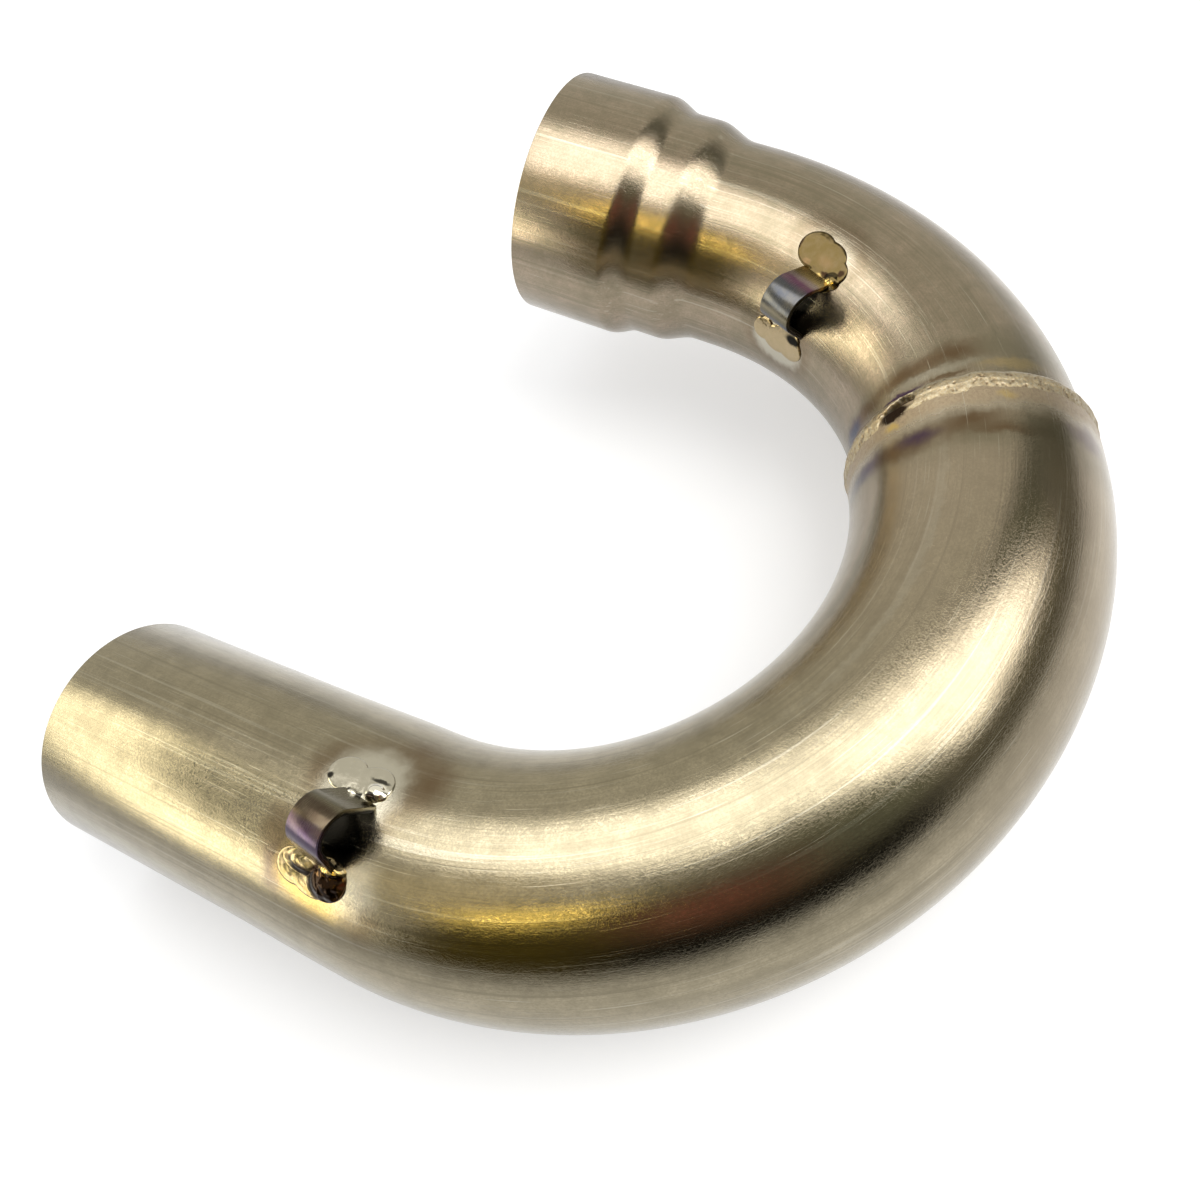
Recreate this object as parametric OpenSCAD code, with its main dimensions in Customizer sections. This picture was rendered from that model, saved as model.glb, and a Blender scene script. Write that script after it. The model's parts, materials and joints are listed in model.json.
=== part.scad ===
// Exhaust header pipe: two thin tubes bent into a U and lap welded together.
// One end is plain and slips into the next pipe. The other end is swaged out
// in two steps to a socket that takes a pipe. Each end has a welded strip loop
// that a retaining spring hooks into.
// The origin is the centre of the plain end's face. +X runs into the plain end,
// +Y points towards the inside of the U and +Z is up. The pipe lies as it rests.

/* [Tubes] */
// Outside diameter of the main tube
main_od = 48; // [44:0.5:54]
// Wall thickness of both tubes
tube_wall = 1; // [0.8:0.1:1.5]
// Radial gap between the main tube and the socket tube slipped into it
lap_gap = 0.5; // [0.3:0.1:0.8]
// Length of the socket tube that is inside the main tube
lap_len = 5; // [3:0.5:8]
// Wall lost on each face where a tube is bent
bend_thinning = 0.02; // [0.01:0.01:0.05]

/* [Plain end] */
// Length of the plain end that is sized to slip into the next pipe
sized_len = 45; // [20:1:55]
// Radius taken off by that sizing
sizing = 0.25; // [0.25:0.05:0.6]

/* [Main bend] */
// Straight length at the plain end
plain_len = 75.5; // [70:0.5:110]
// Centreline radius of the main bend
main_bend_r = 76; // [70:1:110]
// Angle of the main bend
main_bend_angle = 117; // [95:1:125]
// Straight length after the main bend, up to the main tube's lip
main_stub_len = 4; // [3:0.5:12]

/* [Socket bend] */
// Straight length between the lip and the socket bend
lead_len = 1; // [0.5:0.5:8]
// Centreline radius of the socket bend
socket_bend_r = 70; // [60:1:110]
// Angle of the socket bend
socket_bend_angle = 65.5; // [50:0.5:75]
// Turn of the socket bend out of the main bend's plane
socket_bend_twist = 15.5; // [5:0.5:25]
// Straight length between the socket bend and the first flare
neck_len = 4.5; // [2:0.5:20]

/* [Socket] */
// Outside diameter of the pipe that slips into the socket
slip_pipe_od = 52; // [51:0.5:56]
// Radial clearance around that pipe
slip_clearance = 0.2; // [0.1:0.05:0.5]
// Depth of the socket
socket_len = 21; // [15:1:40]
// Length of the flare between the step and the socket
socket_flare_len = 7; // [5:0.5:12]
// Outside diameter of the step between the two flares
step_od = 50; // [48:0.5:52]
// Length of the step
step_len = 5; // [3:0.5:10]
// Length of the flare between the neck and the step
step_flare_len = 9; // [6:0.5:14]

/* [Girth weld] */
// Radius of the weld bead's rounded section
bead_r = 3.2; // [2.8:0.1:4]
// Height of the bead's crest above the main tube
bead_rise = 0.4; // [0.2:0.1:0.8]
// Distance of the bead's middle beyond the main tube's lip
bead_offset = 0.4; // [0:0.1:0.8]
// Radius of the pit left open at the bead's edge
pit_r = 1; // [0.6:0.1:1.2]
// Length of the pit along the bead
pit_len = 4; // [2:0.5:6]
// Place of the pit around the tube, from the top towards the outside
pit_phi = -42; // [-90:1:90]

/* [Spring hooks] */
// Width of the hook strip, along the tube
strip_w = 7.5; // [5:0.5:10]
// Thickness of the hook strip
strip_t = 1.2; // [0.8:0.1:1.6]
// Outside radius of the strip's round crown
crown_r = 4.9; // [4.4:0.1:6]
// Height of the crown's centre above the tube
crown_rise = 4.1; // [3:0.1:6]
// Half angle of the round crown, before the legs run straight
crown_half_angle = 62; // [50:1:70]
// Distance of the plain end's hook from the end, along the centreline
plain_hook_at = 74.5; // [55:0.5:90]
// Place of that hook around the tube, from the top towards the outside
plain_hook_phi = 11.5; // [-40:0.5:40]
// Turn of that hook about its own upright
plain_hook_turn = 6.5; // [0:0.5:10]
// Distance of the socket's hook from the socket's end, along the centreline
socket_hook_at = 76; // [60:0.5:90]
// Place of that hook around the tube, from the top towards the outside
socket_hook_phi = -61; // [-80:1:-40]

/* [Hook welds] */
// Radius of each dab of weld at a hook's foot
dab_r = 5; // [4.5:0.1:6]
// Height of the dabs above the tube
dab_rise = 1.3; // [0.8:0.1:1.8]
// Distance of the dabs' middle outside the foot, around the tube
dab_shift = 1.5; // [0:0.1:2]
// Number of dabs in each weld
dab_count = 5; // [3:1:7]
// Length over the plain end's hook welds
plain_weld_len = 15; // [12:0.5:18]
// Length over the socket's hook welds
socket_weld_len = 17; // [12:0.5:20]

/* [Hidden] */
$fn = 192;
// Facets of the small rounds of the welds
small_fn = 96;
// Hollows that the pit's row is made of
pit_hollows = 4;
// Share of its radius that each hollow loses against the one before it
pit_taper = 0.1;
// Length that a bend's thinned wall reaches into the full wall beside it
seam = 0.2;
// Steps that the crown of a hook strip is drawn with
crown_steps = 16;
// Straight steps that a flare's curve is made of
flare_steps = 8;
// Reach of a cutting shape beyond what it cuts
over = 1;

// Radii of the tubes
main_r = main_od / 2;
neck_r = main_r - tube_wall - lap_gap;
step_r = step_od / 2;
socket_r = slip_pipe_od / 2 + slip_clearance + tube_wall;

// Marks along the socket tube's centreline, from the main tube's lip
bend_start = lead_len;
bend_end = bend_start + socket_bend_r * socket_bend_angle * PI / 180;
step_flare_start = bend_end + neck_len;
step_start = step_flare_start + step_flare_len;
socket_flare_start = step_start + step_len;
socket_start = socket_flare_start + socket_flare_len;
socket_end = socket_start + socket_len;

// Length of a hook strip's leg, which reaches into the tube
leg_len = (crown_rise + main_r) / sin(crown_half_angle) / 2;
// Distance from a hook's middle to its foot, where the leg's outer face meets the tube
foot_reach = crown_r / sin(crown_half_angle) + crown_rise / tan(crown_half_angle);
// Half length of a dab where it meets the tube
dab_half = sqrt(dab_r * dab_r - pow(dab_r - dab_rise, 2));

metal = [0.66, 0.62, 0.52];
weld_metal = [0.74, 0.68, 0.54];
strip_metal = [0.36, 0.31, 0.34];
dab_metal = [0.62, 0.56, 0.42];

// Local frames along the tubes: +Y runs on along the tube, +X points away from
// the middle of the bend and +Z is up, across the bend's plane

// Frame at a distance s from the plain end
module on_main_tube(s) {
  turn = max(0, s - plain_len) / main_bend_r * 180 / PI;
  translate([min(s, plain_len), main_bend_r, 0])
    rotate([0, 0, turn - 90])
      translate([main_bend_r, 0, 0])
        children();
}

// Frame at the main tube's lip, turned to the plane of the socket bend
module on_lip() {
  translate([plain_len, main_bend_r, 0])
    rotate([0, 0, main_bend_angle - 90])
      translate([main_bend_r, main_stub_len, 0])
        rotate([0, socket_bend_twist, 0])
          children();
}

// Frame in the socket bend, at a distance s from the lip
module on_socket_bend(s) {
  on_lip()
    translate([-socket_bend_r, bend_start, 0])
      rotate([0, 0, (s - bend_start) / socket_bend_r * 180 / PI])
        translate([socket_bend_r, 0, 0])
          children();
}

// Section of a tube, solid or hollow
module section(r, wall, hollow) {
  difference() {
    circle(r);
    if (hollow) circle(r - wall);
  }
}

// Straight stretch of a tube along +Y
module straight(r, length, hollow) {
  rotate([-90, 0, 0])
    linear_extrude(length)
      section(r, tube_wall, hollow);
}

// Bent stretch of a tube, about an axis at a distance bend_r on the -X side
module bend(r, bend_r, angle, hollow) {
  seam_angle = seam / bend_r * 180 / PI;
  translate([-bend_r, 0, 0])
    rotate([0, 0, -seam_angle])
      rotate_extrude(angle = angle + 2 * seam_angle)
        translate([bend_r, 0])
          section(r - bend_thinning, tube_wall - 2 * bend_thinning, hollow);
}

module main_shape(hollow) {
  on_main_tube(0) {
    straight(main_r - sizing, sized_len, hollow);
    translate([0, sized_len, 0])
      straight(main_r, plain_len - sized_len, hollow);
  }
  on_main_tube(plain_len)
    bend(main_r, main_bend_r, main_bend_angle, hollow);
  on_lip()
    translate([0, -main_stub_len, 0])
      straight(main_r, main_stub_len, hollow);
}

// Points of a flare that swells smoothly from one radius and place to another
function flare(r1, r2, y1, y2) =
  [for (i = [0:flare_steps])
    let (t = i / flare_steps)
    [r1 + (r2 - r1) * (1 - cos(180 * t)) / 2, y1 + (y2 - y1) * t]];

function reversed(points) = [for (i = [len(points) - 1:-1:0]) points[i]];

// Line of the neck, the two flares and the socket, a wall's thickness inside the outer face
function neck_line(inset) = concat(
  [[neck_r - inset, bend_end]],
  flare(neck_r - inset, step_r - inset, step_flare_start, step_start),
  flare(step_r - inset, socket_r - inset, socket_flare_start, socket_start),
  [[socket_r - inset, socket_end]]);

module neck_and_socket() {
  on_socket_bend(bend_end)
    translate([0, -bend_end, 0])
      rotate([-90, 0, 0])
        rotate_extrude()
          polygon(concat(neck_line(0), reversed(neck_line(tube_wall))));
}

// The socket tube's straight lead and bend, from a distance below the lip
module socket_lead_and_bend(below, hollow) {
  on_lip()
    translate([0, -below, 0])
      straight(neck_r, below + lead_len, hollow);
  on_socket_bend(bend_start)
    bend(neck_r, socket_bend_r, socket_bend_angle, hollow);
}

module main_tube() {
  color(metal)
    main_shape(true);
}

module socket_tube() {
  color(metal) {
    socket_lead_and_bend(lap_len, true);
    neck_and_socket();
  }
}

// Pit at the edge of the bead, as a row of small hollows around the tube
module pit() {
  span = pit_len / main_r * 180 / PI;
  for (i = [0:pit_hollows - 1])
    rotate([0, pit_phi - socket_bend_twist + span * (i / (pit_hollows - 1) - 0.5), 0])
      translate([0, bead_offset + bead_r / 2, main_r])
        sphere(pit_r * (1 - pit_taper * i), $fn = small_fn);
}

module girth_weld() {
  color(weld_metal)
    difference() {
      on_lip()
        difference() {
          rotate([-90, 0, 0])
            rotate_extrude()
              translate([main_r + bead_rise - bead_r, bead_offset])
                circle(bead_r, $fn = small_fn);
          translate([0, -bead_r - over, 0])
            straight(main_r, bead_r + over, false);
          pit();
        }
      socket_lead_and_bend(bead_r + over, false);
    }
}

// Line of one face of a hook strip, at a distance r from the crown's centre:
// down one straight leg reversed, over the round crown and down the other leg
function strip_line(r) = let (
    half = crown_half_angle,
    foot = [r * sin(half) + leg_len * cos(half), r * cos(half) - leg_len * sin(half)])
  concat(
    [[-foot[0], foot[1]]],
    [for (i = [-crown_steps:crown_steps])
      let (a = half * i / crown_steps)
      [r * sin(a), r * cos(a)]],
    [foot]);

// Hook strip across a tube of radius r, with the tube's centreline at the origin
module strip(r, turn) {
  translate([0, 0, r + crown_rise])
    rotate([90, 0, -turn])
      linear_extrude(strip_w, center = true)
        polygon(concat(strip_line(crown_r), reversed(strip_line(crown_r - strip_t))));
}

// A dab of weld beside a hook's foot, on the side given as -1 or 1
module dab(r, phi, side) {
  rotate([0, phi + side * (asin(foot_reach / r) + dab_shift / r * 180 / PI), 0])
    translate([0, 0, r - dab_r + dab_rise])
      sphere(dab_r, $fn = small_fn);
}

// Distance of dab i from the middle of a weld of the given length
function dab_place(i, length) = (length - 2 * dab_half) * (i / (dab_count - 1) - 0.5);

module plain_strip() {
  on_main_tube(plain_hook_at)
    rotate([0, plain_hook_phi, 0])
      strip(main_r, plain_hook_turn);
}

module socket_strip() {
  on_socket_bend(socket_end - socket_hook_at)
    rotate([0, socket_hook_phi, 0])
      strip(neck_r, 0);
}

module plain_hook_weld(side) {
  color(dab_metal)
    difference() {
      for (i = [0:dab_count - 1])
        on_main_tube(plain_hook_at + dab_place(i, plain_weld_len))
          dab(main_r, plain_hook_phi, side);
      main_shape(false);
      plain_strip();
    }
}

module socket_hook_weld(side) {
  color(dab_metal)
    difference() {
      for (i = [0:dab_count - 1])
        on_socket_bend(socket_end - socket_hook_at + dab_place(i, socket_weld_len))
          dab(neck_r, socket_hook_phi, side);
      socket_lead_and_bend(0, false);
      socket_strip();
    }
}

module plain_hook() {
  color(strip_metal)
    difference() {
      plain_strip();
      main_shape(false);
    }
}

module socket_hook() {
  color(strip_metal)
    difference() {
      socket_strip();
      socket_lead_and_bend(0, false);
    }
}

main_tube();
socket_tube();
girth_weld();
plain_hook();
plain_hook_weld(-1);  // plain_hook_weld_inner
plain_hook_weld(1);  // plain_hook_weld_outer
socket_hook();
socket_hook_weld(-1);  // socket_hook_weld_inner
socket_hook_weld(1);  // socket_hook_weld_outer
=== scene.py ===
"""Exhaust header pipe: drawn tube, welds and spring loops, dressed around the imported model.

Every piece stands for one solid of the frame and keeps its place. The tubes, the bead, the
strips and the puddles of weld are modelled again with finer meshes, and all finishes are
node materials that follow the tube along its length.
"""

import json
import math
from contextlib import contextmanager
from typing import NamedTuple

import bpy
import numpy as np
from mathutils import Matrix, Vector, noise


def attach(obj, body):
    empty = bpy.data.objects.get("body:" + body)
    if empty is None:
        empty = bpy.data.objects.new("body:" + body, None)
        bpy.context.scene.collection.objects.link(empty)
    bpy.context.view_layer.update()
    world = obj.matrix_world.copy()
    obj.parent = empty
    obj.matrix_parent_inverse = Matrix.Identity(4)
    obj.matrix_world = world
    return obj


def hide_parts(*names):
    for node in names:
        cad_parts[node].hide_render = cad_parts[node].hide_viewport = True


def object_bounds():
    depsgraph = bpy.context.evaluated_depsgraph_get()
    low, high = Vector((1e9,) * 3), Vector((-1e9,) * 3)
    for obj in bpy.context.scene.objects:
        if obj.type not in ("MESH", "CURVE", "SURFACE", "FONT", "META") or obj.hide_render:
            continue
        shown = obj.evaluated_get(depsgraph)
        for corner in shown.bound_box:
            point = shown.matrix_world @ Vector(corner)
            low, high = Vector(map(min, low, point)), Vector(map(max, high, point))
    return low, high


bl_info = {
    "name": "Exhaust header pipe",
    "version": (1, 0, 0),
    "blender": (4, 5, 0),
    "location": "3D View > Sidebar > Header pipe",
    "description": "Builds the tubes, welds, spring loops and studio of an exhaust header pipe",
    "category": "Add Mesh",
}

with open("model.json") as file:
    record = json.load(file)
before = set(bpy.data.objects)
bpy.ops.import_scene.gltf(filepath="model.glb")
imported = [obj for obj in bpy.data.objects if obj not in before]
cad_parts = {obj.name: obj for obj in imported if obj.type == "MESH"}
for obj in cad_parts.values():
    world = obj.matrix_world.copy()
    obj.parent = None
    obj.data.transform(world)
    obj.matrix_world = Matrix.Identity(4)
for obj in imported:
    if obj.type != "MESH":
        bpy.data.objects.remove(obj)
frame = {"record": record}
CAD_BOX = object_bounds()
MOUNTS = {mount["name"]: mount["dims"] for mount in frame["record"]["mounts"]}
PLAIN_END = MOUNTS["plain_end"]
SOCKET = MOUNTS["socket"]
BODY = "root"
MM = 0.001
# Point attribute that holds the distance along a tube, outwards and up
COORDS = "tube_coords"
# Vertices and steps of the meshes
RING_VERTICES = 192
STUB_STEPS = 16
MAIN_BEND_STEPS = 120
SOCKET_BEND_STEPS = 72
CROWN_STEPS = 36
BEAD_SECTION = 128
BEAD_STEPS = 960
# The bead's pits: places along the pipe and sizes in millimetres, and depths as shares of the sizes
PIT_COUNT = 420
PIT_SEED = 11
PIT_BAND = (-2.2, 2.6)
PIT_SIZES = (0.14, 0.40)
PIT_DEPTHS = (0.25, 0.6)
# The bright ridge of the bead beside the socket tube
RIDGE_AT = 2.1 * MM
RIDGE_HALF = 0.7 * MM
# Millimetres from the lip back to the middle of the sandy metal, and a place where none shows
SAND_BACK = 1.9
NO_SAND = -10
# Length of strip from the crown's middle to the last heat band
STRIP_REACH = 11 * MM
# Middle of the pipe on the floor, and the sides of both lamps
CENTRE = (0.09, 0.08)
TOP_SIZE = (0.63, 0.46)
WINDOW_SIZE = (0.70, 1.04)
# Distances over which the floor fades out of the reflections
FLOOR_FADE = (0.30, 0.13)
# Camera distance below which nothing shows
CLIP_START = 0.005


def length(name, millimetres, description):
    """A length property whose default is given in millimetres."""
    return bpy.props.FloatProperty(
        name=name, description=description, default=millimetres * MM, subtype="DISTANCE",
        precision=5
    )


def angle(name, degrees, description):
    """An angle property whose default is given in degrees."""
    return bpy.props.FloatProperty(
        name=name, description=description, default=math.radians(degrees), subtype="ANGLE"
    )


def strength(name, value, description):
    """A plain strength of light."""
    return bpy.props.FloatProperty(name=name, description=description, default=value, min=0)


def share(name, value, description):
    """A plain number from 0 to 1."""
    return bpy.props.FloatProperty(
        name=name, description=description, default=value, min=0, max=1, subtype="FACTOR"
    )


def position(name, value, description):
    """A place in the frame."""
    return bpy.props.FloatVectorProperty(name=name, description=description, default=value, subtype="XYZ")


def colour(name, value, description):
    """A linear colour."""
    return bpy.props.FloatVectorProperty(
        name=name, description=description, default=value, size=3, min=0, max=1, subtype="COLOR"
    )


class TubeSizes(bpy.types.PropertyGroup):
    """Sizes of the two tubes."""

    main_r: length("Main tube radius", 24, "Outside radius of the main tube")
    wall: length("Wall", 1, "Wall thickness of both tubes")
    lap_gap: length("Lap gap", 0.5, "Radial gap between the main tube and the tube slipped into it")
    lap_len: length("Lap length", 5, "Length of the socket tube inside the main tube")
    sized_r: length("Sized radius", PLAIN_END["r_mm"], "Outside radius of the sized plain end")
    sized_len: length("Sized length", PLAIN_END["length_mm"], "Length of the sized plain end")
    sizing_taper: length("Sizing taper", 26, "Length over which the sized end blends into the tube")
    plain_len: length("Plain length", 75.5, "Straight length at the plain end")
    main_bend_r: length("Main bend radius", 76, "Centreline radius of the main bend")
    main_bend_angle: angle("Main bend angle", 117, "Angle of the main bend")
    stub_len: length("Stub", 4, "Straight length between the main bend and the lip")
    lead_len: length("Lead", 1, "Straight length between the lip and the socket bend")
    socket_bend_r: length("Socket bend radius", 70, "Centreline radius of the socket bend")
    socket_bend_angle: angle("Socket bend angle", 65.5, "Angle of the socket bend")
    twist: angle("Twist", 15.5, "Turn of the socket bend out of the main bend's plane")
    neck_len: length("Neck", 4.5, "Straight length between the socket bend and the first flare")
    step_flare_len: length("Step flare", 9, "Length of the flare up to the step")
    step_r: length("Step radius", 25, "Outside radius of the step")
    step_len: length("Step length", 5, "Length of the step")
    socket_flare_len: length("Socket flare", 7, "Length of the flare up to the socket")
    socket_bore_r: length("Socket bore", SOCKET["r_mm"], "Inside radius of the socket")
    socket_len: length("Socket length", SOCKET["length_mm"], "Depth of the socket")
    rim_round: length("Rim rounding", 0.14, "Rounding of the cut edges at both ends")


class HookSizes(bpy.types.PropertyGroup):
    """Sizes of the strip loops that the springs hook into."""

    strip_w: length("Strip width", 7.5, "Width of the strip along the tube")
    strip_t: length("Strip thickness", 1.2, "Thickness of the strip")
    crown_r: length("Crown radius", 4.9, "Outside radius of the round crown")
    crown_rise: length("Crown rise", 4.1, "Height of the crown's centre above the tube")
    crown_half: angle("Crown half angle", 73, "Half angle of the crown, before the legs run straight")
    root_depth: length("Root depth", 0.5, "Depth of the strip's ends inside the tube's wall")
    edge_round: length("Edge rounding", 0.16, "Rounding of the strip's edges")
    plain_at: length("Plain hook place", 74.5, "Distance of the plain end's hook from the end")
    plain_phi: angle("Plain hook angle", 11.5, "Place of that hook around the tube, from the top")
    plain_turn: angle("Plain hook turn", 6.5, "Turn of that hook about its own upright")
    socket_at: length("Socket hook place", 76, "Distance of the socket's hook from the socket's end")
    socket_phi: angle("Socket hook angle", -61, "Place of that hook around the tube, from the top")


class WeldSizes(bpy.types.PropertyGroup):
    """Sizes of the weld bead and of the puddles at the hooks' feet."""

    bead_r: length("Bead radius", 3.2, "Radius of the bead's round section")
    bead_rise: length("Bead rise", 0.4, "Height of the bead's crest above the main tube")
    bead_shift: length("Bead shift", 0.4, "Place of the bead's crest, beyond the lip")
    bead_stretch: bpy.props.FloatProperty(
        name="Bead stretch", description="How much longer the bead is on the main tube", default=1.75, min=1
    )
    hollow_at: length("Hollow place", 0.0, "Place of the long hollow, beyond the lip")
    hollow_phi: angle("Hollow angle", -33, "Place of the long hollow around the tube, from the top")
    hollow_half: length("Hollow half length", 4.0, "Half of the long hollow's length")
    hollow_wide: length("Hollow half width", 1.5, "Half of the long hollow's width")
    hollow_depth: length("Hollow depth", 1.5, "Depth of the long hollow")
    hollow_slant: angle("Hollow slant", 20, "Slant of the long hollow across the bead")
    puddle_flat: length("Puddle height", 0.4, "Height of the flat puddles")
    base_depth: length("Base depth", 0.5, "Depth of a weld's base inside the tube's wall")
    voxel: length("Voxel", 0.13, "Size of the cells that fuse the puddles' blobs")


class Finish(bpy.types.PropertyGroup):
    """Colours of the bare metal and of its heat tints, and of painted shade and painted highlights."""

    metal: colour("Metal", (0.370, 0.324, 0.228), "Bare drawn tube")
    warm: colour("Warm metal", (0.362, 0.288, 0.218), "Bare tube browned by heat")
    # Real wear and stains, and also a painted dark reflection along the inside of the main bend
    worn: colour("Worn metal", (0.20, 0.175, 0.12), "Darker drawn lines and stains")
    pale: colour("Pale halo", (0.46, 0.435, 0.36), "Clean metal right beside a weld")
    straw: colour("Straw tint", (0.46, 0.34, 0.13), "Yellow heat tint")
    brown: colour("Brown tint", (0.125, 0.08, 0.042), "Brown heat tint")
    purple: colour("Purple tint", (0.065, 0.038, 0.07), "Purple heat tint")
    blue: colour("Blue tint", (0.06, 0.07, 0.11), "Blue heat tint")
    sand: colour("Weld sand", (0.375, 0.30, 0.185), "Matt bead of the girth weld")
    olive: colour("Weld olive", (0.22, 0.175, 0.08), "Gold-olive puddled weld")
    amber: colour("Amber tint", (0.13, 0.075, 0.035), "Orange heat tint")
    violet: colour("Violet tint", (0.07, 0.05, 0.11), "Violet heat tint")
    lilac: colour("Lilac tint", (0.28, 0.21, 0.19), "Lilac-brown heat tint")
    magenta: colour("Magenta tint", (0.11, 0.03, 0.08), "Magenta heat tint")
    steel: colour("Blue steel", (0.06, 0.066, 0.082), "Blue-grey strip")
    # Painted highlight: bright colour that stands in for glints on the welds and on the tube beside the
    # plain end's hook
    glint: colour("Painted glint", (0.80, 0.77, 0.68), "Bright glassy bits of weld")
    # Partly painted shade: the weld's own dull gold, darkened to stand in for the dimmer light that it
    # reflects
    gold: colour("Dark gold", (0.052, 0.036, 0.013), "Dull gold weld")
    dusk: colour("Dusk tint", (0.13, 0.115, 0.075), "Dark olive of the strips' feet")
    umber: colour("Umber tint", (0.062, 0.044, 0.030), "Dark brown across the plain end's strip")
    char: colour("Char", (0.018, 0.010, 0.006), "Charred lumps of weld")
    # Painted shade: near-black colour that stands in for the shade in hollows, under and inside the loops
    # and at dark edges of the puddles
    soot: colour("Soot", (0.012, 0.011, 0.009), "Hollows and the shade inside the loops")
    bore: colour("Bore", (0.16, 0.14, 0.105), "The tubes' inside")
    gloss: share("Roughness", 0.12, "Roughness of the main tube")
    socket_gloss: share("Socket roughness", 0.19, "Roughness of the socket tube, which heat has dulled")


class Studio(bpy.types.PropertyGroup):
    """Camera, floor and lamps."""

    eye: position("Camera place", (0.18525, -0.02580, 0.17975), "Place of the camera")
    aim: bpy.props.FloatVectorProperty(
        name="Camera rotation", description="Rotation of the camera", subtype="EULER", unit="ROTATION",
        default=(math.radians(33.892), math.radians(15.219), math.radians(28.028)),
    )
    lens: bpy.props.FloatProperty(
        name="Lens", description="Focal length in millimetres", default=32.93, unit="CAMERA"
    )
    floor_half: length("Floor", 3000, "Half of the floor's side")
    sky: strength("Sky", 0.68, "Strength of the even light from all sides")
    back_sky: strength("Sky behind", 0.8, "Extra light on dull surfaces from behind the pipe")
    floor_glow: strength("Floor glow", 0.45, "Glow that whitens the floor for the camera")
    floor_mirror: strength("Floor in reflections", 0.45, "Glow that whitens the floor in reflections")
    top_light: strength("Overhead lamp", 3.4, "Brightness of the overhead lamp")
    window_light: strength("Window", 4.0, "Brightness of the window")
    top_at: position("Overhead lamp place", (-0.025, 0.07, 0.66), "Place of the overhead lamp")
    window_at: position("Window place", (0.795, 0.351, 0.933), "Place of the window")


class Centreline(NamedTuple):
    """A straight stretch along local +Y, then a bend towards local -X, then straight again."""

    place: Matrix
    straight: float
    radius: float
    turn: float


def main_line(tubes):
    """Centreline of the main tube, from the plain end."""
    start = Matrix.Rotation(-math.pi / 2, 4, "Z")
    return Centreline(start, tubes.plain_len, tubes.main_bend_r, tubes.main_bend_angle)


def socket_line(tubes):
    """Centreline of the socket tube, from the main tube's lip."""
    place = (
        Matrix.Translation((tubes.plain_len, tubes.main_bend_r, 0))
        @ Matrix.Rotation(tubes.main_bend_angle - math.pi / 2, 4, "Z")
        @ Matrix.Translation((tubes.main_bend_r, tubes.stub_len, 0))
        @ Matrix.Rotation(tubes.twist, 4, "Y")
    )
    return Centreline(place, tubes.lead_len, tubes.socket_bend_r, tubes.socket_bend_angle)


def bend(line, coords):
    """Places points given as distance along, outwards and up onto a centreline."""
    s, out, up = coords.T
    turn = np.clip((s - line.straight) / line.radius, 0, line.turn)
    rest = np.maximum(s - line.straight - line.radius * line.turn, 0)
    reach = line.radius + out
    x = reach * np.cos(turn) - line.radius - rest * np.sin(turn)
    y = np.minimum(s, line.straight) + reach * np.sin(turn) + rest * np.cos(turn)
    turned = np.stack([x, y, up], axis=1) @ np.array(line.place.to_3x3()).T
    return turned + np.array(line.place.translation)


def unbend(line, points):
    """Distance along, outwards and up of points, as if the tube were straight."""
    back = line.place.inverted()
    x, y, up = (points @ np.array(back.to_3x3()).T + np.array(back.translation)).T
    dx, dy = x + line.radius, y - line.straight
    turn = np.clip(np.arctan2(dy, dx), 0, line.turn)
    before = dy < 0
    turn[before] = 0
    out = dx * np.cos(turn) + dy * np.sin(turn) - line.radius
    rest = dy * np.cos(turn) - dx * np.sin(turn)
    s = line.straight + line.radius * turn + rest
    return np.stack([s, out, up], axis=1)


def points_of(piece):
    """All vertices of a piece as an array."""
    points = np.empty(len(piece.data.vertices) * 3)
    piece.data.vertices.foreach_get("co", points)
    return points.reshape(-1, 3)


def move_points(piece, points):
    """Moves all vertices of a piece."""
    piece.data.vertices.foreach_set("co", points.ravel())
    piece.data.update()


def store(piece, name, values):
    """Stores one vector or one number for each vertex."""
    plain = values.ndim == 1
    layer = piece.data.attributes.new(name, "FLOAT" if plain else "FLOAT_VECTOR", "POINT")
    layer.data.foreach_set("value" if plain else "vector", values.ravel())


def normals_of(piece):
    """All vertex normals of a piece as an array."""
    normals = np.empty(len(piece.data.vertices) * 3)
    piece.data.vertex_normals.foreach_get("vector", normals)
    return normals.reshape(-1, 3)


@contextmanager
def edit_mode():
    """Works on the active piece in edit mode, with everything selected."""
    bpy.ops.object.mode_set(mode="EDIT")
    bpy.ops.mesh.select_all(action="SELECT")
    yield
    bpy.ops.object.mode_set(mode="OBJECT")


def add(primitive, name, **settings):
    """Adds a primitive and puts its place into its mesh."""
    bpy.ops.object.select_all(action="DESELECT")
    primitive(**settings)
    piece = bpy.context.object
    piece.name = piece.data.name = name
    bpy.ops.object.transform_apply(location=True, rotation=True, scale=True)
    return piece


def select_where(piece, test):
    """Selects, in edit mode, the vertices whose places pass a test."""
    bpy.ops.mesh.select_all(action="DESELECT")
    bpy.ops.object.mode_set(mode="OBJECT")
    for vertex in piece.data.vertices:
        vertex.select = test(vertex.co)
    bpy.ops.object.mode_set(mode="EDIT")


def pull(step):
    """Extrudes the selection by a step."""
    bpy.ops.mesh.extrude_region_move(TRANSFORM_OT_translate={"value": step})


def swell(factor, centre):
    """Scales the selection about a centre."""
    bpy.ops.transform.resize(value=(factor, factor, factor), center_override=centre)


def clean_up():
    """Merges doubles and turns all faces outwards."""
    bpy.ops.mesh.select_all(action="SELECT")
    bpy.ops.mesh.remove_doubles(threshold=1e-7)
    bpy.ops.mesh.normals_make_consistent(inside=False)


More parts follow.
